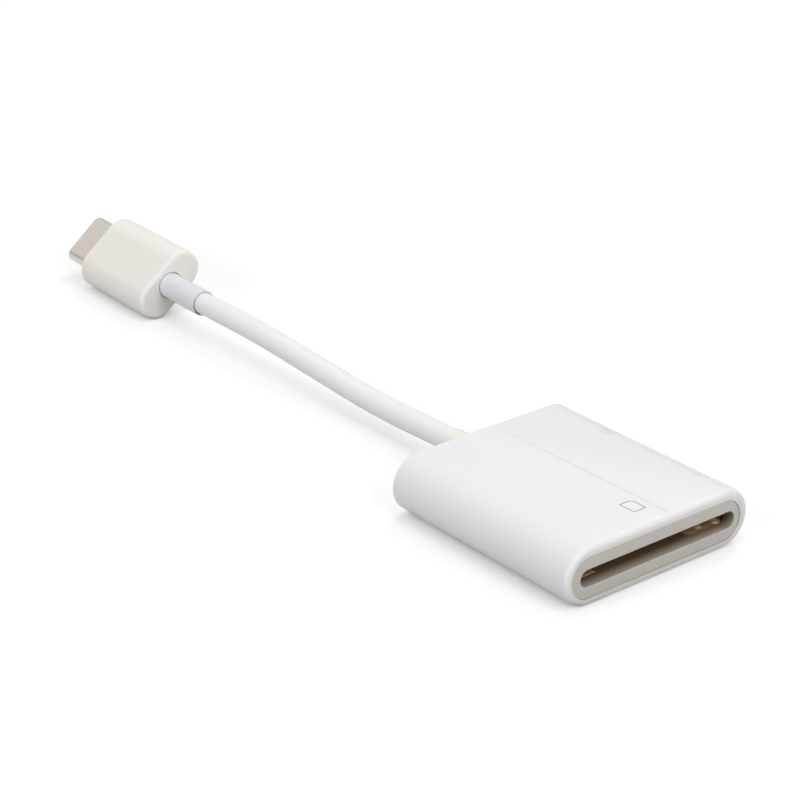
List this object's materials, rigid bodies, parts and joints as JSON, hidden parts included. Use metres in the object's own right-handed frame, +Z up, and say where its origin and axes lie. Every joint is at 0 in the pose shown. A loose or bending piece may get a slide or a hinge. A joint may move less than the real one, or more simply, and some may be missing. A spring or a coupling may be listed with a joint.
{
  "type": "usb memory card reader",
  "caption": "Flat white memory card reader with fully rounded sides, a card slot in front and a short cord that ends in an oval plug in a cream boot.",
  "frame": {"origin": "under the middle of the sleeve, on the surface that it rests on", "axes": "+X across the sleeve, -Y out of the card slot, +Y along the cord towards the plug, +Z up"},
  "size_m": [0.0304, 0.1297, 0.0099],
  "materials": {
    "white_shell": "smooth moulded, soft gloss",
    "white_bezel": "fine satin",
    "cream_boot": "smooth satin",
    "cord_white": "satin jacket",
    "relief_white": "satin, cool white",
    "plug_steel": "drawn, warm nickel plate",
    "inner_steel": "stamped",
    "socket_metal": "stamped, dull gold",
    "gold": "gold flash",
    "black_moulding": "moulded",
    "board": "coated laminate",
    "ceramic_part": "fired",
    "resistor_part": "coated",
    "wire_sheath": "smooth"
  },
  "bodies": {
    "root": {"housing_sleeve": "white_shell", "front_bezel": "white_bezel", "card_socket_base": "black_moulding", "card_socket_cover": "socket_metal", "card_contacts": "gold", "card_detect_contact": "gold", "write_protect_contact": "gold", "circuit_board": "board", "controller_chip": "black_moulding", "crystal": "inner_steel", "voltage_regulator": "black_moulding", "capacitors": "ceramic_part", "resistors": "resistor_part", "rear_collar": "cream_boot", "cord_clamp": "inner_steel", "cable": "cord_white", "reader_end_wires": "wire_sheath", "plug_boot": "cream_boot", "plug_strain_relief": "relief_white", "plug_shell": "plug_steel", "plug_insulator": "black_moulding", "plug_upper_contacts": "gold", "plug_lower_contacts": "gold", "plug_latches": "inner_steel", "plug_board": "board", "plug_shield": "inner_steel", "plug_end_wires": "wire_sheath"}
  },
  "joints": []
}
